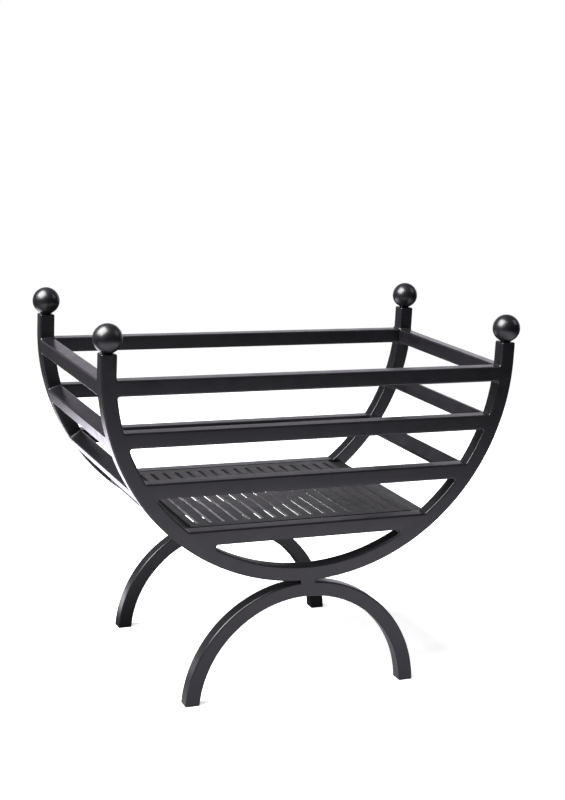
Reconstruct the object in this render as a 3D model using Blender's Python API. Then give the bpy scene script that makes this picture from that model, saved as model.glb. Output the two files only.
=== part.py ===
"""Cradle fire basket: a log rack welded from square steel bar, with a loose slotted grate.

Metres, +Z up, front towards -Y. The origin is on the floor, under the middle of the basket.
"""

import math

import bmesh
import bpy
from mathutils import Matrix

# Square bar, and the gap that stands for each welded or resting contact
BAR = 0.016
BAR_EDGE = 0.0018
WELD_GAP = 0.0003

# Main arches: a half round with a short straight post at each end
ARCH_RADIUS = 0.222
ARCH_SPACING = 0.2345
POST_RISE = 0.0175
POST_CHAMFER = 0.0012
ARCH_STEPS = 56

# Foot arches, whose ends are cut flat a little above the centre of the bend
FOOT_RADIUS = 0.1243
FOOT_CUT = 0.008
FOOT_STEPS = 40

# Weld pad between the bottom of a main arch and the crown of its foot
CROWN_GAP = 0.0015
PAD_LENGTH = 0.0166
PAD_STEPS = 4

# Face rails, spread evenly from the top rail down to the grate rail
FACE_RAILS = ("top", "upper", "lower", "grate")
TOP_RAIL_DROP = 0.0165
GRATE_RAIL_RISE = 0.0391
RAIL_END_STEPS = 4

# Side rails, whose inner upper corners are level with the tops of the face rails
SIDE_RAILS = ("top", "middle", "lower")

# Ball finials on stepped pins
BALL_DIAMETER = 0.0296
BALL_RINGS = 11
NECK_DIAMETER = 0.012
NECK_RISE = 0.0010
PIN_DIAMETER = 0.008
PIN_DEPTH = 0.010
PIN_CLEARANCE = 0.0003
BALL_STEPS = 24
PIN_STEPS = 16
SMOOTH_ANGLE = math.radians(30)

# Loose grate and the two ledges that it rests on
GRATE_THICKNESS = 0.003
GRATE_CLEARANCE = 0.0012
GRATE_END_BORDER = 0.011
GRATE_SIDE_BORDER = 0.0075
SLOT_WIDTH = 0.0047
SLOT_PITCH = 0.0145
SLOT_END_STEPS = 6
LEDGE_WIDTH = 0.025
LEDGE_THICKNESS = 0.005
LEDGE_OVERLAP = 0.004

# Heights and places that follow from the sizes above
FOOT_CENTRE = -FOOT_CUT
CROWN_TOP = FOOT_CENTRE + FOOT_RADIUS + BAR / 2
ARCH_BOTTOM = CROWN_TOP + CROWN_GAP
ARCH_CENTRE = ARCH_BOTTOM + BAR / 2 + ARCH_RADIUS
POST_TOP = ARCH_CENTRE + POST_RISE
INNER_RADIUS = ARCH_RADIUS - BAR / 2
TOP_RAIL = ARCH_CENTRE - TOP_RAIL_DROP
GRATE_RAIL = ARCH_CENTRE - INNER_RADIUS + GRATE_RAIL_RISE
RAIL_PITCH = (TOP_RAIL - GRATE_RAIL) / (len(FACE_RAILS) - 1)
GRATE_TOP = GRATE_RAIL + BAR / 2
INNER_DEPTH = ARCH_SPACING - BAR
BALL_SEAT = POST_TOP + NECK_RISE
BALL_CENTRE = BALL_SEAT + math.sqrt((BALL_DIAMETER / 2) ** 2 - (NECK_DIAMETER / 2) ** 2)

FACES = (("front", -ARCH_SPACING / 2), ("rear", ARCH_SPACING / 2))
SIDES = (("left", -1), ("right", 1))


def clear_scene():
    for obj in list(bpy.data.objects):
        bpy.data.objects.remove(obj)


def paint(name, colour, roughness):
    """A satin paint over steel."""
    material = bpy.data.materials.new(name)
    material.use_nodes = True
    shader = material.node_tree.nodes["Principled BSDF"]
    shader.inputs["Base Color"].default_value = (*colour, 1.0)
    shader.inputs["Roughness"].default_value = roughness
    shader.inputs["Metallic"].default_value = 0.0
    return material


def add_object(name, bm, material, location=(0, 0, 0), smooth_angle=None):
    """Turn a finished bmesh into a named object with its own copy of the material."""
    bmesh.ops.recalc_face_normals(bm, faces=bm.faces)
    mesh = bpy.data.meshes.new(name)
    bm.to_mesh(mesh)
    bm.free()
    obj = bpy.data.objects.new(name, mesh)
    obj.location = location
    own = material.copy()
    own.name = name + "_" + material.name
    mesh.materials.append(own)
    bpy.context.collection.objects.link(obj)
    if smooth_angle is not None:
        mesh.shade_smooth()
        mesh.set_sharp_from_angle(angle=smooth_angle)
    return obj


def bar_ring(bm):
    """The outline of the bar's square section with broken corners, in the XY plane."""
    half = BAR / 2
    inner = half - BAR_EDGE
    points = []
    for sx, sy in ((1, 1), (-1, 1), (-1, -1), (1, -1)):
        ends = [(sx * half, sy * inner, 0), (sx * inner, sy * half, 0)]
        points += ends if sx == sy else ends[::-1]
    verts = [bm.verts.new(point) for point in points]
    return [bm.edges.new(pair) for pair in zip(verts, verts[1:] + verts[:1])]


def ring_verts(edges):
    return list({vert for edge in edges for vert in edge.verts})


def extrude_ring(bm, edges, offset):
    """Pull a ring of edges along by an offset."""
    made = bmesh.ops.extrude_edge_only(bm, edges=edges)["geom"]
    bmesh.ops.translate(bm, verts=[v for v in made if isinstance(v, bmesh.types.BMVert)], vec=offset)


def close_ends(bm):
    """Cap every open ring, and return the caps."""
    edges = [edge for edge in bm.edges if edge.is_boundary]
    return bmesh.ops.holes_fill(bm, edges=edges, sides=0)["faces"]


def bevel_edges(bm, edges, width, segments=1):
    bmesh.ops.bevel(
        bm, geom=edges, offset=width, offset_type="OFFSET",
        affect="EDGES", segments=segments, profile=0.5, material=-1,
    )


def bent_bar(radius, angle, steps):
    """An open tube of bar bent about the Y axis, from -X round to +X."""
    bm = bmesh.new()
    ring = bar_ring(bm)
    bmesh.ops.translate(bm, verts=ring_verts(ring), vec=(-radius, 0, 0))
    bmesh.ops.spin(
        bm, geom=ring + ring_verts(ring), axis=(0, 1, 0), cent=(0, 0, 0),
        angle=angle, steps=steps, use_duplicate=False,
    )
    return bm


def main_arch(name, y, material):
    """A half round that opens upward, with a straight post and a pin hole at each end."""
    bm = bent_bar(ARCH_RADIUS, -math.pi, ARCH_STEPS)
    for side in (-1, 1):
        ring = [edge for edge in bm.edges if edge.is_boundary and side * edge.verts[0].co.x > 0]
        extrude_ring(bm, ring, (0, 0, POST_RISE))
    for cap in close_ends(bm):
        bevel_edges(bm, list(cap.edges), POST_CHAMFER)
    arch = add_object(name, bm, material, (0, y, ARCH_CENTRE), SMOOTH_ANGLE)
    cutter = pin_holes(name + "_pin_holes", y)
    cut = arch.modifiers.new("pin_holes", "BOOLEAN")
    cut.object = cutter
    cut.operation = "DIFFERENCE"
    cut.solver = "EXACT"
    return arch


def pin_holes(name, y):
    """The cutter for the two pin holes in the tops of an arch's posts."""
    bm = bmesh.new()
    depth = PIN_DEPTH + PIN_CLEARANCE
    for _, side in SIDES:
        place = Matrix.Translation((side * ARCH_RADIUS, y, POST_TOP))
        bmesh.ops.create_cone(
            bm, cap_ends=True, segments=PIN_STEPS, radius1=PIN_DIAMETER / 2 + PIN_CLEARANCE,
            radius2=PIN_DIAMETER / 2 + PIN_CLEARANCE, depth=2 * depth, matrix=place,
        )
    return add_cutter(name, bm)


def add_cutter(name, bm):
    mesh = bpy.data.meshes.new(name)
    bmesh.ops.recalc_face_normals(bm, faces=bm.faces)
    bm.to_mesh(mesh)
    bm.free()
    cutter = bpy.data.objects.new(name, mesh)
    cutter.hide_render = True
    cutter.display_type = "WIRE"
    bpy.context.collection.objects.link(cutter)
    return cutter


def foot_arch(name, y, material):
    """A half round that opens downward, cut flat where it stands on the floor."""
    bm = bent_bar(FOOT_RADIUS, math.pi, FOOT_STEPS)
    bmesh.ops.bisect_plane(
        bm, geom=bm.verts[:] + bm.edges[:] + bm.faces[:], dist=1e-7,
        plane_co=(0, 0, FOOT_CUT), plane_no=(0, 0, -1), clear_outer=True,
    )
    close_ends(bm)
    return add_object(name, bm, material, (0, y, FOOT_CENTRE), SMOOTH_ANGLE)


def extrude_outline(points, depth):
    """A solid from an outline in the XZ plane, extruded both ways along Y."""
    bm = bmesh.new()
    face = bm.faces.new([bm.verts.new((x, -depth / 2, z)) for x, z in points])
    made = bmesh.ops.extrude_face_region(bm, geom=[face])["geom"]
    bmesh.ops.translate(
        bm, verts=[item for item in made if isinstance(item, bmesh.types.BMVert)], vec=(0, depth, 0)
    )
    return bm


def crown_pad(name, y, material):
    """The weld pad, which follows the bottom of the main arch above and the foot's crown below."""
    above = ARCH_RADIUS + BAR / 2 + WELD_GAP
    below = FOOT_RADIUS + BAR / 2 + WELD_GAP
    across = [PAD_LENGTH * (step / PAD_STEPS - 0.5) for step in range(PAD_STEPS + 1)]
    top = [(x, ARCH_CENTRE - math.sqrt(above ** 2 - x ** 2)) for x in across]
    bottom = [(x, FOOT_CENTRE + math.sqrt(below ** 2 - x ** 2)) for x in across]
    bm = extrude_outline(bottom + top[::-1], BAR - 2 * BAR_EDGE)
    return add_object(name, bm, material, (0, y, 0))


def face_rail(name, y, z, material):
    """A rail between the legs of an arch, its ends coped to the inside of the bend."""
    reach = INNER_RADIUS - WELD_GAP
    heights = [z + BAR * (step / RAIL_END_STEPS - 0.5) for step in range(RAIL_END_STEPS + 1)]
    right = [(math.sqrt(reach ** 2 - (height - ARCH_CENTRE) ** 2), height) for height in heights]
    bm = extrude_outline(right + [(-x, height) for x, height in right[::-1]], BAR)
    long_edges = [edge for edge in bm.edges if abs(edge.verts[0].co.x - edge.verts[1].co.x) > reach / 2]
    bevel_edges(bm, long_edges, BAR_EDGE)
    return add_object(name, bm, material, (0, y, 0), SMOOTH_ANGLE)


def side_rail_angle(top):
    """How far round the bend a side rail lies, for its inner upper corner to be at a height."""
    across = math.hypot(INNER_RADIUS, BAR / 2)
    return math.asin((ARCH_CENTRE - top) / across) + math.atan2(BAR / 2, INNER_RADIUS)


def side_rail(name, side, top, material):
    """A rail from the front arch to the rear arch, turned with the bend of the arches."""
    bm = bmesh.new()
    ring = bar_ring(bm)
    length = INNER_DEPTH - 2 * WELD_GAP
    bmesh.ops.translate(bm, verts=ring_verts(ring), vec=(0, 0, -length / 2))
    extrude_ring(bm, ring, (0, 0, length))
    close_ends(bm)
    bmesh.ops.rotate(bm, verts=bm.verts, cent=(0, 0, 0), matrix=Matrix.Rotation(math.pi / 2, 3, "X"))
    angle = side_rail_angle(top)
    place = (side * ARCH_RADIUS * math.cos(angle), 0, ARCH_CENTRE - ARCH_RADIUS * math.sin(angle))
    rail = add_object(name, bm, material, place, SMOOTH_ANGLE)
    rail.rotation_euler = (0, side * angle, 0)
    return rail


def turned(profile, steps):
    """A solid turned about the Z axis from a profile of (radius, height) that ends on the axis."""
    bm = bmesh.new()
    verts = [bm.verts.new((radius, 0, height)) for radius, height in profile]
    edges = [bm.edges.new(pair) for pair in zip(verts, verts[1:])]
    bmesh.ops.spin(
        bm, geom=verts + edges, axis=(0, 0, 1), cent=(0, 0, 0), angle=2 * math.pi,
        steps=steps, use_merge=True, use_duplicate=False,
    )
    bmesh.ops.remove_doubles(bm, verts=bm.verts, dist=1e-6)
    return bm


def ball(name, place, material):
    """A ball with a flat seat and a blind hole for its pin."""
    radius = BALL_DIAMETER / 2
    hole = PIN_DIAMETER / 2 + PIN_CLEARANCE
    seat = BALL_SEAT - BALL_CENTRE
    roof = seat + PIN_DEPTH + PIN_CLEARANCE
    start = math.asin(seat / radius)
    profile = [(0, roof), (hole, roof), (hole, seat)]
    for ring in range(BALL_RINGS + 1):
        angle = start + (math.pi / 2 - start) * ring / BALL_RINGS
        profile.append((radius * math.cos(angle), radius * math.sin(angle)))
    profile[-1] = (0, radius)
    return add_object(name, turned(profile, BALL_STEPS), material, place, SMOOTH_ANGLE)


def stepped_pin(name, place, material):
    """A pin whose collar is the ball's neck; its two ends sit in the post and in the ball."""
    spigot = PIN_DIAMETER / 2
    collar = NECK_DIAMETER / 2
    low = WELD_GAP
    high = NECK_RISE - WELD_GAP
    profile = [
        (0, low - PIN_DEPTH), (spigot, low - PIN_DEPTH), (spigot, low), (collar, low),
        (collar, high), (spigot, high), (spigot, high + PIN_DEPTH), (0, high + PIN_DEPTH),
    ]
    return add_object(name, turned(profile, PIN_STEPS), material, place, SMOOTH_ANGLE)


def grate_size():
    """How many slots fit between the arches, and half of the grate's width and depth."""
    drop = ARCH_CENTRE - GRATE_TOP
    room = 2 * (math.sqrt(INNER_RADIUS ** 2 - drop ** 2) - GRATE_CLEARANCE)
    borders = 2 * GRATE_SIDE_BORDER - (SLOT_PITCH - SLOT_WIDTH)
    slots = int((room - borders) / SLOT_PITCH)
    return slots, (slots * SLOT_PITCH + borders) / 2, INNER_DEPTH / 2 - GRATE_CLEARANCE


def slot_cutter(name, slots, half_depth):
    """The cutter for the grate's row of round-ended slots, which run from front to rear."""
    straight = half_depth - GRATE_END_BORDER - SLOT_WIDTH / 2
    outline = []
    for end in (1, -1):
        for step in range(SLOT_END_STEPS + 1):
            turn = math.pi * step / SLOT_END_STEPS
            x = end * SLOT_WIDTH / 2 * math.cos(turn)
            y = end * (straight + SLOT_WIDTH / 2 * math.sin(turn))
            outline.append((x, y))
    bm = bmesh.new()
    for slot in range(slots):
        centre = (slot - (slots - 1) / 2) * SLOT_PITCH
        face = bm.faces.new([bm.verts.new((centre + x, y, 2 * GRATE_THICKNESS)) for x, y in outline])
        made = bmesh.ops.extrude_face_region(bm, geom=[face])["geom"]
        low = [item for item in made if isinstance(item, bmesh.types.BMVert)]
        bmesh.ops.translate(bm, verts=low, vec=(0, 0, -4 * GRATE_THICKNESS))
    return add_cutter(name, bm)


def grate(name, material):
    """The loose plate, with its top level with the grate rails."""
    slots, half_width, half_depth = grate_size()
    middle = GRATE_TOP - GRATE_THICKNESS / 2
    bm = bmesh.new()
    size = Matrix.Diagonal((2 * half_width, 2 * half_depth, GRATE_THICKNESS, 1))
    bmesh.ops.create_cube(bm, size=1, matrix=size)
    plate = add_object(name, bm, material, (0, 0, middle))
    cutter = slot_cutter(name + "_slots", slots, half_depth)
    cutter.location = (0, 0, middle)
    cut = plate.modifiers.new("slots", "BOOLEAN")
    cut.object = cutter
    cut.operation = "DIFFERENCE"
    cut.solver = "EXACT"
    return plate


def ledge(name, side, material):
    """A flat bar between the arches, under one edge of the grate."""
    _, half_width, _ = grate_size()
    centre = side * (half_width - LEDGE_OVERLAP + LEDGE_WIDTH / 2)
    top = GRATE_TOP - GRATE_THICKNESS - WELD_GAP
    bm = bmesh.new()
    size = Matrix.Diagonal((LEDGE_WIDTH, INNER_DEPTH - 2 * WELD_GAP, LEDGE_THICKNESS, 1))
    bmesh.ops.create_cube(bm, size=1, matrix=size)
    return add_object(name, bm, material, (centre, 0, top - LEDGE_THICKNESS / 2))


def build():
    clear_scene()
    frame_paint = paint("satin_black", (0.020, 0.020, 0.021), 0.42)
    grate_paint = paint("grate_black", (0.032, 0.031, 0.030), 0.55)
    rail_heights = [TOP_RAIL - RAIL_PITCH * step for step in range(len(FACE_RAILS))]
    for face, y in FACES:
        main_arch(face + "_arch", y, frame_paint)
        foot_arch(face + "_foot", y, frame_paint)
        crown_pad(face + "_crown_pad", y, frame_paint)
        for rail, height in zip(FACE_RAILS, rail_heights):
            face_rail(face + "_" + rail + "_rail", y, height, frame_paint)
        for side_name, side in SIDES:
            corner = face + "_" + side_name
            x = side * ARCH_RADIUS
            stepped_pin(corner + "_pin", (x, y, POST_TOP), frame_paint)
            ball(corner + "_ball", (x, y, BALL_CENTRE), frame_paint)
    for side_name, side in SIDES:
        for rail, height in zip(SIDE_RAILS, rail_heights):
            side_rail(side_name + "_" + rail + "_rail", side, height + BAR / 2, frame_paint)
        ledge(side_name + "_grate_ledge", side, grate_paint)
    grate("grate", grate_paint)


build()
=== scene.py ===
import math

import bmesh
import bpy
from mathutils import Matrix, Vector


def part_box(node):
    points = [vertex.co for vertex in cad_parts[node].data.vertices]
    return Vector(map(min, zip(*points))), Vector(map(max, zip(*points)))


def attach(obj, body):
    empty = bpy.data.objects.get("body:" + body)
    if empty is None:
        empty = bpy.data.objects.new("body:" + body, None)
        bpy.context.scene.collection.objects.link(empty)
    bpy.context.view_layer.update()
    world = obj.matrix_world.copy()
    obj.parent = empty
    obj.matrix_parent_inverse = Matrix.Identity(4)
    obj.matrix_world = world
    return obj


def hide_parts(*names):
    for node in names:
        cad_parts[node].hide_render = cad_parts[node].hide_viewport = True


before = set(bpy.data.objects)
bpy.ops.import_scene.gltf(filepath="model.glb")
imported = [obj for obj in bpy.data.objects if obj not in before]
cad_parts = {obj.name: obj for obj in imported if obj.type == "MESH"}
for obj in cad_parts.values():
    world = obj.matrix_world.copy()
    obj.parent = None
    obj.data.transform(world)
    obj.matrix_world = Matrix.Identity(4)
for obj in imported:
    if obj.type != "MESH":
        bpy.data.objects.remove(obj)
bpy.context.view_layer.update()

# Cradle fire basket: bent square bar, ball finials and a loose slotted grate, all painted black.
# Metres, +Z up, front towards -Y. Sizes and places are read from the frame's own pieces.

FACES = ("front", "rear")
SIDES = (("left", -1), ("right", 1))
FACE_RAILS = ("top", "upper", "lower", "grate")
SIDE_RAILS = ("top", "middle", "lower")

# Finish of the bar: its rolled edge, and how far a welded end runs into the bar that it joins
EDGE_RADIUS = 0.0018
EDGE_STEPS = 4
WELD_RUN = 1.3 * EDGE_RADIUS
FLUSH_GAP = 0.00002
FILLET_RADIUS = 0.0024
FILLET_STEPS = 6
POST_ROUNDING = 0.0012
FOOT_ROUNDING = 0.0006
ARCH_STEPS = 168
FOOT_STEPS = 112
RAIL_END_STEPS = 12

# Finials
BALL_RINGS = 36
BALL_STEPS = 72
PIN_STEPS = 48
PIN_RADIUS = 0.004
PIN_CLEARANCE = 0.0003
NECK_WAIST = 0.0007
NECK_STEPS = 6

# Grate: its slots, their coat of paint, and how its rims are rolled
SLOT_WIDTH = 0.0047
SLOT_PITCH = 0.0145
SLOT_END_BORDER = 0.011
SLOT_END_STEPS = 12
GRATE_SIDE_BORDER = 0.0075
GRATE_ROLL = 0.00015
SLOT_PAINT = 0.00015
# The rolled rim in steps from a face to a wall: how far back from the wall, and how far in from the face
ROLL_STEPS = ((1.0, 0.0), (0.5, 0.13), (0.13, 0.5), (0.0, 1.0))

SMOOTH_ANGLE = math.radians(32)
MERGE_DISTANCE = 1e-7
SAME_PLACE = 1e-6


# ---- measures taken from the frame ----

arch_low, arch_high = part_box("front_arch")
BAR = arch_high.y - arch_low.y
ARCH_RADIUS = (arch_high.x - arch_low.x - BAR) / 2
ARCH_CENTRE = arch_low.z + ARCH_RADIUS + BAR / 2
POST_TOP = arch_high.z
INNER_RADIUS = ARCH_RADIUS - BAR / 2
FACE_PLANES = {face: sum(corner.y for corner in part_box(face + "_arch")) / 2 for face in FACES}
INNER_FACE = FACE_PLANES["rear"] - BAR / 2

foot_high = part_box("front_foot")[1]
FOOT_CENTRE = (foot_high.z ** 2 - foot_high.x ** 2) / (2 * foot_high.z)
FOOT_RADIUS = foot_high.z - FOOT_CENTRE - BAR / 2

neck_low, neck_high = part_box("front_left_pin")
NECK_RADIUS = (neck_high.x - neck_low.x) / 2


# ---- mesh helpers ----

def verts_of(geometry):
    return [item for item in geometry if isinstance(item, bmesh.types.BMVert)]


def round_edges(bm, edges, width, segments):
    bmesh.ops.bevel(
        bm, geom=edges, offset=width, offset_type="OFFSET",
        affect="EDGES", segments=segments, profile=0.5, material=-1,
    )


def close_ends(bm):
    """Cap every open ring, and return the caps."""
    open_edges = [edge for edge in bm.edges if edge.is_boundary]
    return bmesh.ops.holes_fill(bm, edges=open_edges, sides=0)["faces"]


def keep_flats_flat(piece):
    """Shade each flat as flat right up to its rolled edges."""
    weighted = piece.modifiers.new("flat_faces", "WEIGHTED_NORMAL")
    weighted.mode = "FACE_AREA"
    weighted.weight = 100
    weighted.keep_sharp = True


def finish_piece(name, bm, material, body="frame", replaced=None):
    """Make a named object from a bmesh that is already in place, and set it on its body."""
    bmesh.ops.remove_doubles(bm, verts=bm.verts, dist=MERGE_DISTANCE)
    bmesh.ops.recalc_face_normals(bm, faces=bm.faces)
    mesh = bpy.data.meshes.new(name)
    bm.to_mesh(mesh)
    bm.free()
    mesh.shade_smooth()
    mesh.set_sharp_from_angle(angle=SMOOTH_ANGLE)
    mesh.materials.append(material)
    piece = bpy.data.objects.new(name, mesh)
    bpy.context.collection.objects.link(piece)
    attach(piece, body)
    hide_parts(replaced)
    return piece


def bar_piece(name, bm, material, replaced):
    """A piece of bar stock on the frame, flat between its rolled edges."""
    keep_flats_flat(finish_piece(name, bm, material, replaced=replaced))


# ---- bent square bar ----

def bar_section(bm):
    """The outline of the bar with its rolled edges, in the XY plane."""
    bmesh.ops.create_grid(bm, x_segments=1, y_segments=1, size=BAR / 2)
    bmesh.ops.bevel(
        bm, geom=bm.verts[:], offset=EDGE_RADIUS, offset_type="OFFSET",
        affect="VERTICES", segments=EDGE_STEPS, profile=0.5, material=-1,
    )
    bmesh.ops.delete(bm, geom=bm.faces[:], context="FACES_ONLY")
    return bm.edges[:]


def bent_bar(radius, angle, steps):
    """An open tube of bar bent about the Y axis, from -X round to +X."""
    bm = bmesh.new()
    section = bar_section(bm)
    bmesh.ops.translate(bm, verts=bm.verts, vec=(-radius, 0, 0))
    bmesh.ops.spin(
        bm, geom=section + bm.verts[:], axis=(0, 1, 0), cent=(0, 0, 0),
        angle=angle, steps=steps, use_duplicate=False,
    )
    return bm


def drill_post(bm, side, radius, depth):
    """Turn the flat top of one post into a ring round a blind hole for the finial's pin."""
    own_faces = [face for face in bm.faces if side * face.calc_center_median().x > 0]
    top = max(own_faces, key=lambda face: face.calc_center_median().z)
    rim = list(top.edges)
    height = top.calc_center_median().z
    bmesh.ops.delete(bm, geom=[top], context="FACES_ONLY")
    place = Matrix.Translation((side * ARCH_RADIUS, 0, height))
    circle = bmesh.ops.create_circle(bm, cap_ends=False, segments=len(rim), radius=radius, matrix=place)
    ring = list({edge for vert in circle["verts"] for edge in vert.link_edges})
    bmesh.ops.bridge_loops(bm, edges=rim + ring)
    wall = bmesh.ops.extrude_edge_only(bm, edges=ring)["geom"]
    bmesh.ops.translate(bm, verts=verts_of(wall), vec=(0, 0, -depth))


def main_arch(face, material):
    """A half round that opens upward into two short posts, drilled for the finials' pins."""
    bm = bent_bar(ARCH_RADIUS, -math.pi, ARCH_STEPS)
    for _, side in SIDES:
        ring = [edge for edge in bm.edges if edge.is_boundary and side * edge.verts[0].co.x > 0]
        post = bmesh.ops.extrude_edge_only(bm, edges=ring)["geom"]
        bmesh.ops.translate(bm, verts=verts_of(post), vec=(0, 0, POST_TOP - ARCH_CENTRE))
    for cap in close_ends(bm):
        round_edges(bm, list(cap.edges), POST_ROUNDING, 3)
    depth = POST_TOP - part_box(face + "_left_pin")[0].z + PIN_CLEARANCE
    for _, side in SIDES:
        drill_post(bm, side, PIN_RADIUS + PIN_CLEARANCE, depth)
    close_ends(bm)
    bmesh.ops.translate(bm, verts=bm.verts, vec=(0, FACE_PLANES[face], ARCH_CENTRE))
    bar_piece(face + "_arch_bar", bm, material, replaced=face + "_arch")


def foot_arch(face, material):
    """A half round that opens downward, cut flat where it stands on the floor."""
    bm = bent_bar(FOOT_RADIUS, math.pi, FOOT_STEPS)
    bmesh.ops.translate(bm, verts=bm.verts, vec=(0, FACE_PLANES[face], FOOT_CENTRE))
    bmesh.ops.bisect_plane(
        bm, geom=bm.verts[:] + bm.edges[:] + bm.faces[:], dist=MERGE_DISTANCE,
        plane_co=(0, 0, 0), plane_no=(0, 0, -1), clear_outer=True,
    )
    for cap in close_ends(bm):
        round_edges(bm, list(cap.edges), FOOT_ROUNDING, 2)
    bar_piece(face + "_foot_bar", bm, material, replaced=face + "_foot")


# ---- straight bar with welded ends ----

def is_level(edge):
    """Whether an edge of an upright-walled plate lies in one of its two flat faces."""
    return abs(edge.verts[0].co.z - edge.verts[1].co.z) < SAME_PLACE


def arc_points(centre, radius, start, end, steps):
    """Points on an arc in a plane, both ends included."""
    turns = [start + (end - start) * step / steps for step in range(steps + 1)]
    return [(centre[0] + radius * math.cos(turn), centre[1] + radius * math.sin(turn)) for turn in turns]


def plate(outline, thickness):
    """A solid from an outline of (u, v) points, its thickness centred on the XY plane."""
    bm = bmesh.new()
    face = bm.faces.new([bm.verts.new((u, v, -thickness / 2)) for u, v in outline])
    made = bmesh.ops.extrude_face_region(bm, geom=[face])["geom"]
    bmesh.ops.translate(bm, verts=verts_of(made), vec=(0, 0, thickness))
    return bm


def round_long_edges(bm, is_end):
    """Round the edges of both flat faces, except those round a buried end."""
    edges = [
        edge for edge in bm.edges
        if is_level(edge) and not any(is_end(vert.co) for vert in edge.verts)
    ]
    round_edges(bm, edges, EDGE_RADIUS, EDGE_STEPS)


def face_rail_corner(height, up):
    """The weld fillet at the right end of a face rail, from the rail's face to inside the arch."""
    centre_v = height + up * FILLET_RADIUS
    drop = centre_v - ARCH_CENTRE
    reach = INNER_RADIUS - FILLET_RADIUS
    centre_u = math.sqrt(reach ** 2 - drop ** 2)
    towards_arch = math.atan2(drop, centre_u)
    points = arc_points((centre_u, centre_v), FILLET_RADIUS, -up * math.pi / 2, towards_arch, FILLET_STEPS)
    buried = INNER_RADIUS + WELD_RUN
    points.append((buried * math.cos(towards_arch), ARCH_CENTRE + buried * math.sin(towards_arch)))
    return points


def face_rail(face, rail, material):
    """A rail between the legs of an arch, welded at both ends and dressed flush with the arch."""
    low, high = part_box(f"{face}_{rail}_rail")
    upper = face_rail_corner(high.z, 1)
    lower = face_rail_corner(low.z, -1)
    buried = INNER_RADIUS + WELD_RUN
    ends = [math.atan2(point[1] - ARCH_CENTRE, point[0]) for point in (lower[-1], upper[-1])]
    cope = arc_points((0, ARCH_CENTRE), buried, *ends, RAIL_END_STEPS)[1:-1]
    right = lower + cope + upper[::-1]
    outline = right + [(-u, v) for u, v in right[::-1]]
    bm = plate(outline, BAR - 2 * FLUSH_GAP)
    centre = Vector((0, ARCH_CENTRE))
    round_long_edges(bm, lambda co: (co.xy - centre).length > INNER_RADIUS + EDGE_RADIUS / 4)
    upright = Matrix.Translation((0, FACE_PLANES[face], 0)) @ Matrix.Rotation(math.pi / 2, 4, "X")
    bmesh.ops.transform(bm, matrix=upright, verts=bm.verts)
    bar_piece(f"{face}_{rail}_rail_bar", bm, material, replaced=f"{face}_{rail}_rail")


def side_rail(side_name, rail, material):
    """A rail from the front arch to the rear arch, turned with their bend and welded at both ends."""
    low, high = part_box(f"{side_name}_{rail}_rail")
    middle = (low + high) / 2
    angle = math.atan2(ARCH_CENTRE - middle.z, middle.x)
    centre = (BAR / 2 + FILLET_RADIUS, INNER_FACE - FILLET_RADIUS)
    corner = arc_points(centre, FILLET_RADIUS, math.pi, math.pi / 2, FILLET_STEPS)
    corner.append((BAR / 2 + FILLET_RADIUS, INNER_FACE + WELD_RUN))
    rear = corner + [(-u, v) for u, v in corner[::-1]]
    outline = rear + [(-u, -v) for u, v in rear]
    bm = plate(outline, BAR - 2 * FLUSH_GAP)
    round_long_edges(bm, lambda co: abs(co.y) > INNER_FACE + EDGE_RADIUS / 4)
    turn = Matrix.Rotation(angle + math.pi / 2, 4, "Y")
    bmesh.ops.transform(bm, matrix=Matrix.Translation(middle) @ turn, verts=bm.verts)
    bar_piece(f"{side_name}_{rail}_rail_bar", bm, material, replaced=f"{side_name}_{rail}_rail")


def crown_weld(face, material):
    """The weld between the bottom of an arch and the crown of its foot, dressed flush with both."""
    low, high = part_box(face + "_crown_pad")
    half = (high.x - low.x) / 2
    above = ARCH_RADIUS + BAR / 2 - WELD_RUN
    below = FOOT_RADIUS + BAR / 2 - WELD_RUN
    down, up = -math.pi / 2, math.pi / 2
    wide, narrow = math.asin(half / below), math.asin(half / above)
    top = arc_points((0, ARCH_CENTRE), above, down + narrow, down - narrow, FILLET_STEPS)
    bottom = arc_points((0, FOOT_CENTRE), below, up + wide, up - wide, FILLET_STEPS)
    bm = plate(bottom + top, BAR - 2 * FLUSH_GAP)
    ends = [
        edge for edge in bm.edges
        if is_level(edge) and all(abs(abs(vert.co.x) - half) < SAME_PLACE for vert in edge.verts)
    ]
    round_edges(bm, ends, EDGE_RADIUS / 2, 3)
    upright = Matrix.Translation((0, FACE_PLANES[face], 0)) @ Matrix.Rotation(math.pi / 2, 4, "X")
    bmesh.ops.transform(bm, matrix=upright, verts=bm.verts)
    bar_piece(face + "_crown_weld", bm, material, replaced=face + "_crown_pad")


# ---- turned pieces ----

def turned(profile, steps, place):
    """A solid turned about a vertical axis from (radius, height) points that end on the axis."""
    bm = bmesh.new()
    verts = [bm.verts.new((radius, 0, height)) for radius, height in profile]
    edges = [bm.edges.new(pair) for pair in zip(verts, verts[1:])]
    bmesh.ops.spin(
        bm, geom=verts + edges, axis=(0, 0, 1), cent=(0, 0, 0), angle=2 * math.pi,
        steps=steps, use_merge=True, use_duplicate=False,
    )
    bmesh.ops.remove_doubles(bm, verts=bm.verts, dist=SAME_PLACE)
    bmesh.ops.translate(bm, verts=bm.verts, vec=place)
    return bm


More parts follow.
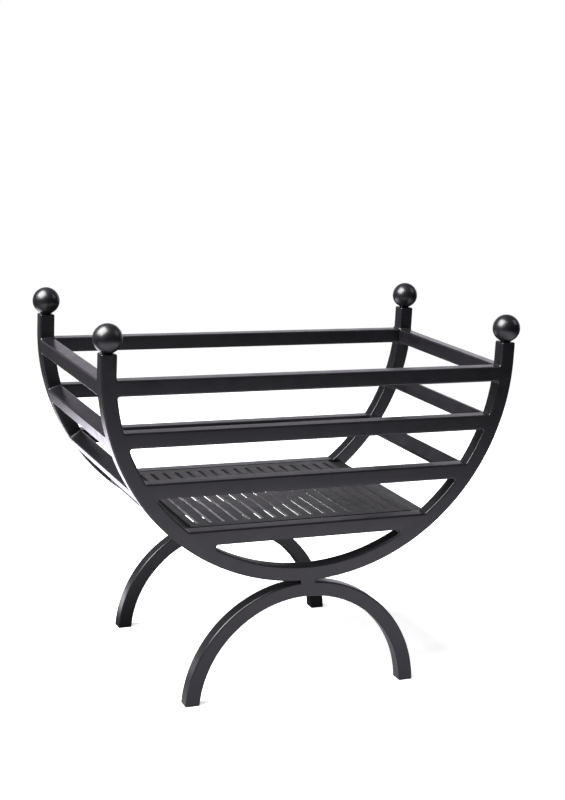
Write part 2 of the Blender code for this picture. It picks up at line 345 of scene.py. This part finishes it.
def finial_ball(corner, material):
    """A ball with a flat seat and a blind hole for its pin."""
    low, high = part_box(corner + "_ball")
    radius = (high.x - low.x) / 2
    centre = Vector(((low.x + high.x) / 2, (low.y + high.y) / 2, high.z - radius))
    seat = low.z - centre.z
    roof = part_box(corner + "_pin")[1].z + PIN_CLEARANCE - centre.z
    hole = PIN_RADIUS + PIN_CLEARANCE
    skin = arc_points((0, 0), radius, math.asin(seat / radius), math.pi / 2, BALL_RINGS)
    skin[-1] = (0, radius)
    profile = [(0, roof), (hole, roof), (hole, seat)] + skin
    bm = turned(profile, BALL_STEPS, centre)
    finish_piece(corner + "_finial", bm, material, replaced=corner + "_ball")


def finial_pin(corner, material):
    """A pin whose waisted collar is the neck between the post and the ball."""
    low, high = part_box(corner + "_pin")
    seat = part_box(corner + "_ball")[0].z
    place = Vector(((low.x + high.x) / 2, (low.y + high.y) / 2, 0))
    collar = []
    for step in range(NECK_STEPS + 1):
        share = step / NECK_STEPS
        radius = NECK_RADIUS - NECK_WAIST * math.sin(math.pi * share)
        collar.append((radius, POST_TOP + share * (seat - POST_TOP)))
    profile = [(0, low.z), (PIN_RADIUS, low.z), (PIN_RADIUS, POST_TOP)] + collar
    profile += [(PIN_RADIUS, seat), (PIN_RADIUS, high.z), (0, high.z)]
    bm = turned(profile, PIN_STEPS, place)
    finish_piece(corner + "_neck", bm, material, replaced=corner + "_pin")


# ---- grate ----

def add_ring(bm, points, height):
    """A closed ring of edges through (x, y) points."""
    verts = [bm.verts.new((x, y, height)) for x, y in points]
    return [bm.edges.new(pair) for pair in zip(verts, verts[1:] + verts[:1])]


def slot_outline(centre, straight, back):
    """A slot with round ends, narrowed by its coat of paint, its rim set back from its wall."""
    radius = SLOT_WIDTH / 2 - SLOT_PAINT + back
    rear = arc_points((centre, straight), radius, 0, math.pi, SLOT_END_STEPS)
    front = arc_points((centre, -straight), radius, math.pi, 2 * math.pi, SLOT_END_STEPS)
    return rear + front


def plate_outline(low, high, back):
    """The outside of the plate, its rim set back from its wall."""
    left, right = low.x + back, high.x - back
    near, far = low.y + back, high.y - back
    return [(left, near), (right, near), (right, far), (left, far)]


def slotted_grate(material):
    """The loose plate with its row of round-ended slots, every rim softly rolled."""
    low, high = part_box("grate")
    land = SLOT_PITCH - SLOT_WIDTH
    slots = round((high.x - low.x - 2 * GRATE_SIDE_BORDER + land) / SLOT_PITCH)
    straight = high.y - SLOT_END_BORDER - SLOT_WIDTH / 2
    levels = [(share * GRATE_ROLL, high.z - depth * GRATE_ROLL) for share, depth in ROLL_STEPS]
    levels += [(share * GRATE_ROLL, low.z + depth * GRATE_ROLL) for share, depth in ROLL_STEPS[::-1]]
    rims = [[(plate_outline(low, high, back), height) for back, height in levels]]
    for slot in range(slots):
        centre = (slot - (slots - 1) / 2) * SLOT_PITCH
        rims.append([(slot_outline(centre, straight, back), height) for back, height in levels])
    bm = bmesh.new()
    top, bottom = [], []
    for rim in rims:
        rings = [add_ring(bm, outline, height) for outline, height in rim]
        for upper, lower in zip(rings, rings[1:]):
            bmesh.ops.bridge_loops(bm, edges=upper + lower)
        top += rings[0]
        bottom += rings[-1]
    for edges in (top, bottom):
        bmesh.ops.triangle_fill(bm, edges=edges, use_beauty=True, use_dissolve=False)
    keep_flats_flat(finish_piece("grate_plate", bm, material, "grate", "grate"))


def grate_ledge(side_name, material):
    """A flat bar under one edge of the grate, welded to both arches."""
    node = side_name + "_grate_ledge"
    low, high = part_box(node)
    size = high - low
    size.y = 2 * INNER_FACE
    bm = bmesh.new()
    place = Matrix.Translation((low + high) / 2) @ Matrix.Diagonal((*size, 1))
    bmesh.ops.create_cube(bm, size=1, matrix=place)
    long_edges = [edge for edge in bm.edges if abs(edge.verts[0].co.y - edge.verts[1].co.y) > INNER_FACE]
    round_edges(bm, long_edges, size.z / 5, 3)
    bar_piece(side_name + "_ledge_bar", bm, material, replaced=node)


# ---- paint ----

# Each ramp reads: from low, from high, to low, to high
CLOUD_SCALE = 22.0
CLOUD_RAMP = (0.35, 0.65, 0.0, 1.0)
GLOSS_SCALE = 70.0
GLOSS_SPAN = (0.3, 0.7)
RIPPLE_SCALE = 55.0
RIPPLE_STRENGTH = 0.12
RIPPLE_HEIGHT = 0.0004
PEEL_SCALE = 620.0
PEEL_HEIGHT = 0.00006
PORE_SCALE = 1900.0
PORE_HEIGHT = 0.00005
PORE_SHARE = 0.6

SATIN_TONES = ((0.0026, 0.0023, 0.0032), (0.0042, 0.0038, 0.0052))
SATIN_ROUGHNESS = (0.29, 0.36)
SATIN_GRAIN = 0.12
SATIN_GLOSS = 0.5
MATT_TONES = ((0.0085, 0.0081, 0.0086), (0.0130, 0.0124, 0.0130))
MATT_ROUGHNESS = (0.42, 0.56)
MATT_GRAIN = 0.45
MATT_GLOSS = 0.32


class Nodes:
    """A few short ways to add shader nodes and join them up."""

    def __init__(self, tree):
        self.tree = tree
        self.tree.nodes.clear()

    def add(self, kind, inputs=None, **settings):
        node = self.tree.nodes.new(kind)
        for name, value in settings.items():
            setattr(node, name, value)
        for name, value in (inputs or {}).items():
            if isinstance(value, bpy.types.NodeSocket):
                self.tree.links.new(value, node.inputs[name])
            else:
                node.inputs[name].default_value = value
        return node

    def noise(self, coordinates, scale, detail=3.0, roughness=0.55):
        inputs = {"Vector": coordinates, "Scale": scale, "Detail": detail, "Roughness": roughness}
        return self.add("ShaderNodeTexNoise", inputs).outputs["Fac"]

    def remap(self, value, low, high, to_low, to_high):
        inputs = {"Value": value, "From Min": low, "From Max": high, "To Min": to_low, "To Max": to_high}
        node = self.add("ShaderNodeMapRange", inputs, interpolation_type="SMOOTHSTEP")
        return node.outputs["Result"]

    def bump(self, height, strength, distance, normal=None):
        inputs = {"Height": height, "Strength": strength, "Distance": distance}
        if normal is not None:
            inputs["Normal"] = normal
        return self.add("ShaderNodeBump", inputs).outputs["Normal"]

    def multiply(self, first, second):
        return self.add("ShaderNodeMath", {0: first, 1: second}, operation="MULTIPLY").outputs[0]

    def plus(self, first, second):
        return self.add("ShaderNodeMath", {0: first, 1: second}, operation="ADD").outputs[0]

    def distance(self, place, centre):
        node = self.add("ShaderNodeVectorMath", {0: place, 1: centre}, operation="DISTANCE")
        return node.outputs["Value"]

    def mix(self, factor, first, second):
        inputs = {("Factor", "VALUE"): factor, ("A", "RGBA"): first, ("B", "RGBA"): second}
        node = self.add("ShaderNodeMix", data_type="RGBA")
        for wanted, value in inputs.items():
            socket = next(s for s in node.inputs if (s.name, s.type) == wanted)
            if isinstance(value, bpy.types.NodeSocket):
                self.tree.links.new(value, socket)
            else:
                socket.default_value = value
        return next(s for s in node.outputs if s.type == "RGBA")


def black_paint(name, thin, thick, sheen_low, sheen_high, grain, gloss_level):
    """Black paint with a fine orange peel: two near-black tones, uneven gloss and a soft grain."""
    material = bpy.data.materials.new(name)
    material.use_nodes = True
    nodes = Nodes(material.node_tree)
    place = nodes.add("ShaderNodeTexCoord").outputs["Object"]
    cloud = nodes.remap(nodes.noise(place, CLOUD_SCALE, 4.0), *CLOUD_RAMP)
    peel = nodes.noise(place, PEEL_SCALE, 2.0)
    pores = nodes.noise(place, PORE_SCALE, 1.0)
    ripple = nodes.noise(place, RIPPLE_SCALE, 2.0)
    tone = nodes.mix(cloud, (*thin, 1.0), (*thick, 1.0))
    gloss = nodes.remap(nodes.noise(place, GLOSS_SCALE, 5.0, 0.65), *GLOSS_SPAN, sheen_low, sheen_high)
    soft = nodes.bump(ripple, RIPPLE_STRENGTH, RIPPLE_HEIGHT)
    skin = nodes.bump(peel, grain, PEEL_HEIGHT, soft)
    fine = nodes.bump(pores, grain * PORE_SHARE, PORE_HEIGHT, skin)
    inputs = {"Base Color": tone, "Roughness": gloss, "Normal": fine, "Specular IOR Level": gloss_level}
    shader = nodes.add("ShaderNodeBsdfPrincipled", inputs)
    nodes.add("ShaderNodeOutputMaterial", {"Surface": shader.outputs["BSDF"]})
    return material


# ---- studio ----

LIGHT_AIM = Vector((0, 0, 0.2))

# The room in reflections, by the height (Z) and side (X, Y) that a direction points to
ROOM_TINT = (1.0, 0.965, 1.06, 1.0)
BACK_WALL = (0.1, 0.8, 0.0, 1.0)
WALL_TO_RIGHT = (-0.35, 0.10, 0.15, 1.0)
WALL_FOOT = (-0.25, -0.05, 0.0, 1.3)
WALL_TOP = (0.17, 0.33, 1.0, 0.18)
CEILING = (0.25, 1.0, 0.05, 0.2)

# The floor: its size and plain white, and in reflections a grey sheet with two patches of light
FLOOR_RADIUS = 1.7
FLOOR_SIDES = 96
FLOOR_RIM = (1.25, 1.65, 0.0, 1.0)
FLOOR_WHITE = (0.82, 0.82, 0.82, 1.0)
FLOOR_GLOW = 0.6
FLOOR_GREY = (0.03, 0.03, 0.03, 1.0)
FLOOR_TINT = (1.0, 0.96, 1.08, 1.0)
REAR_PATCH_PLACE = (-0.28, 0.48, 0.0)
REAR_PATCH = (0.12, 0.36, 5.0, 0.05)
PATCH_IN_FRONT = (-0.25, 0.15, 1.0, 0.0)
PATCH_TO_RIGHT = (0.25, 1.0, 1.0, 0.12)
PATCH_NEAR = (0.25, 0.6, 0.55, 1.0)
PATCH_FAR = (0.6, 1.45, 1.8, 0.15)
WHITE = (1.0, 1.0, 1.0, 1.0)

CAMERA_YAW = math.radians(23.68)
CAMERA_PITCH = math.radians(12.27)
CAMERA_ROLL = math.radians(2.77)
CAMERA_LENS = 67.64
CAMERA_AIM = Vector((0.0153, 0.0, 0.2918))
CAMERA_DISTANCE = 1.6585


def add_light(name, towards, distance, size, power):
    """A soft square light that faces the middle of the basket from a direction."""
    light = bpy.data.lights.new(name, "AREA")
    light.shape = "SQUARE"
    light.size = size
    light.energy = power
    lamp = bpy.data.objects.new(name, light)
    direction = Vector(towards).normalized()
    lamp.location = LIGHT_AIM + direction * distance
    lamp.rotation_euler = direction.to_track_quat("Z", "Y").to_euler()
    lamp.visible_camera = False
    bpy.context.collection.objects.link(lamp)


def studio_world():
    """White to the eye; in reflections a dim room, paler at the back and overhead."""
    world = bpy.data.worlds.new("studio")
    bpy.context.scene.world = world
    world.use_nodes = True
    nodes = Nodes(world.node_tree)
    direction = nodes.add("ShaderNodeTexCoord").outputs["Generated"]
    axes = nodes.add("ShaderNodeSeparateXYZ", {"Vector": direction}).outputs
    across = nodes.multiply(nodes.remap(axes["Y"], *BACK_WALL), nodes.remap(axes["X"], *WALL_TO_RIGHT))
    upright = nodes.multiply(nodes.remap(axes["Z"], *WALL_FOOT), nodes.remap(axes["Z"], *WALL_TOP))
    level = nodes.plus(nodes.multiply(across, upright), nodes.remap(axes["Z"], *CEILING))
    room = nodes.add("ShaderNodeBackground", {"Color": ROOM_TINT, "Strength": level})
    white = nodes.add("ShaderNodeBackground", {"Color": WHITE, "Strength": 1.0})
    seen = nodes.add("ShaderNodeLightPath").outputs["Is Camera Ray"]
    both = nodes.add("ShaderNodeMixShader", {"Fac": seen, 1: room.outputs[0], 2: white.outputs[0]})
    nodes.add("ShaderNodeOutputWorld", {"Surface": both.outputs[0]})


def studio_floor():
    """A pale round floor that glows to plain white and fades out at its rim."""
    bm = bmesh.new()
    bmesh.ops.create_circle(bm, cap_ends=True, segments=FLOOR_SIDES, radius=FLOOR_RADIUS)
    mesh = bpy.data.meshes.new("studio_floor")
    bm.to_mesh(mesh)
    bm.free()
    floor = bpy.data.objects.new("studio_floor", mesh)
    bpy.context.collection.objects.link(floor)
    material = bpy.data.materials.new("pale_floor")
    material.use_nodes = True
    nodes = Nodes(material.node_tree)
    place = nodes.add("ShaderNodeTexCoord").outputs["Object"]
    axes = nodes.add("ShaderNodeSeparateXYZ", {"Vector": place}).outputs
    from_middle = nodes.distance(place, (0.0, 0.0, 0.0))
    rear_patch = nodes.remap(nodes.distance(place, REAR_PATCH_PLACE), *REAR_PATCH)
    sides = nodes.multiply(nodes.remap(axes["Y"], *PATCH_IN_FRONT), nodes.remap(axes["X"], *PATCH_TO_RIGHT))
    reach = nodes.multiply(nodes.remap(from_middle, *PATCH_NEAR), nodes.remap(from_middle, *PATCH_FAR))
    mirrored = nodes.plus(rear_patch, nodes.multiply(reach, sides))
    seen = nodes.add("ShaderNodeLightPath").outputs["Is Camera Ray"]
    glow = nodes.remap(seen, 0.0, 1.0, mirrored, FLOOR_GLOW)
    sheet = nodes.add("ShaderNodeBsdfDiffuse", {"Color": nodes.mix(seen, FLOOR_GREY, FLOOR_WHITE)})
    tint = nodes.mix(seen, FLOOR_TINT, WHITE)
    light = nodes.add("ShaderNodeEmission", {"Color": tint, "Strength": glow})
    lit = nodes.add("ShaderNodeAddShader", {0: sheet.outputs[0], 1: light.outputs[0]})
    clear = nodes.add("ShaderNodeBsdfTransparent")
    rim = nodes.remap(from_middle, *FLOOR_RIM)
    faded = nodes.add("ShaderNodeMixShader", {"Fac": rim, 1: lit.outputs[0], 2: clear.outputs[0]})
    nodes.add("ShaderNodeOutputMaterial", {"Surface": faded.outputs[0]})
    mesh.materials.append(material)


def camera():
    """Looks at the basket from the front left and a little above, tilted slightly."""
    data = bpy.data.cameras.new("camera")
    data.sensor_fit = "VERTICAL"
    data.sensor_height = 36.0
    data.lens = CAMERA_LENS
    data.clip_start = 0.05
    data.clip_end = 50.0
    eye = bpy.data.objects.new("camera", data)
    right = Vector((math.cos(CAMERA_YAW), -math.sin(CAMERA_YAW), 0))
    ahead = Vector((math.sin(CAMERA_YAW), math.cos(CAMERA_YAW), 0))
    forward = math.cos(CAMERA_PITCH) * ahead - math.sin(CAMERA_PITCH) * Vector((0, 0, 1))
    up = right.cross(forward)
    across = math.cos(CAMERA_ROLL) * right + math.sin(CAMERA_ROLL) * up
    above = math.cos(CAMERA_ROLL) * up - math.sin(CAMERA_ROLL) * right
    turn = Matrix((across, above, -forward)).transposed().to_4x4()
    eye.matrix_world = Matrix.Translation(CAMERA_AIM - forward * CAMERA_DISTANCE) @ turn
    bpy.context.collection.objects.link(eye)
    bpy.context.scene.camera = eye


# ---- build ----

def build_basket():
    satin = black_paint("satin_black", *SATIN_TONES, *SATIN_ROUGHNESS, SATIN_GRAIN, SATIN_GLOSS)
    matt = black_paint("grate_black", *MATT_TONES, *MATT_ROUGHNESS, MATT_GRAIN, MATT_GLOSS)
    for face in FACES:
        main_arch(face, satin)
        foot_arch(face, satin)
        crown_weld(face, satin)
        for rail in FACE_RAILS:
            face_rail(face, rail, satin)
        for side_name, _ in SIDES:
            finial_pin(f"{face}_{side_name}", satin)
            finial_ball(f"{face}_{side_name}", satin)
    for side_name, _ in SIDES:
        for rail in SIDE_RAILS:
            side_rail(side_name, rail, satin)
        grate_ledge(side_name, matt)
    slotted_grate(matt)


build_basket()
studio_world()
studio_floor()
camera()
add_light("key_softbox", (-0.62, -0.02, 0.78), 1.8, 1.5, 165)
add_light("right_fill", (0.75, -0.25, 0.62), 2.4, 1.0, 6)
bpy.context.scene.view_settings.view_transform = "Standard"
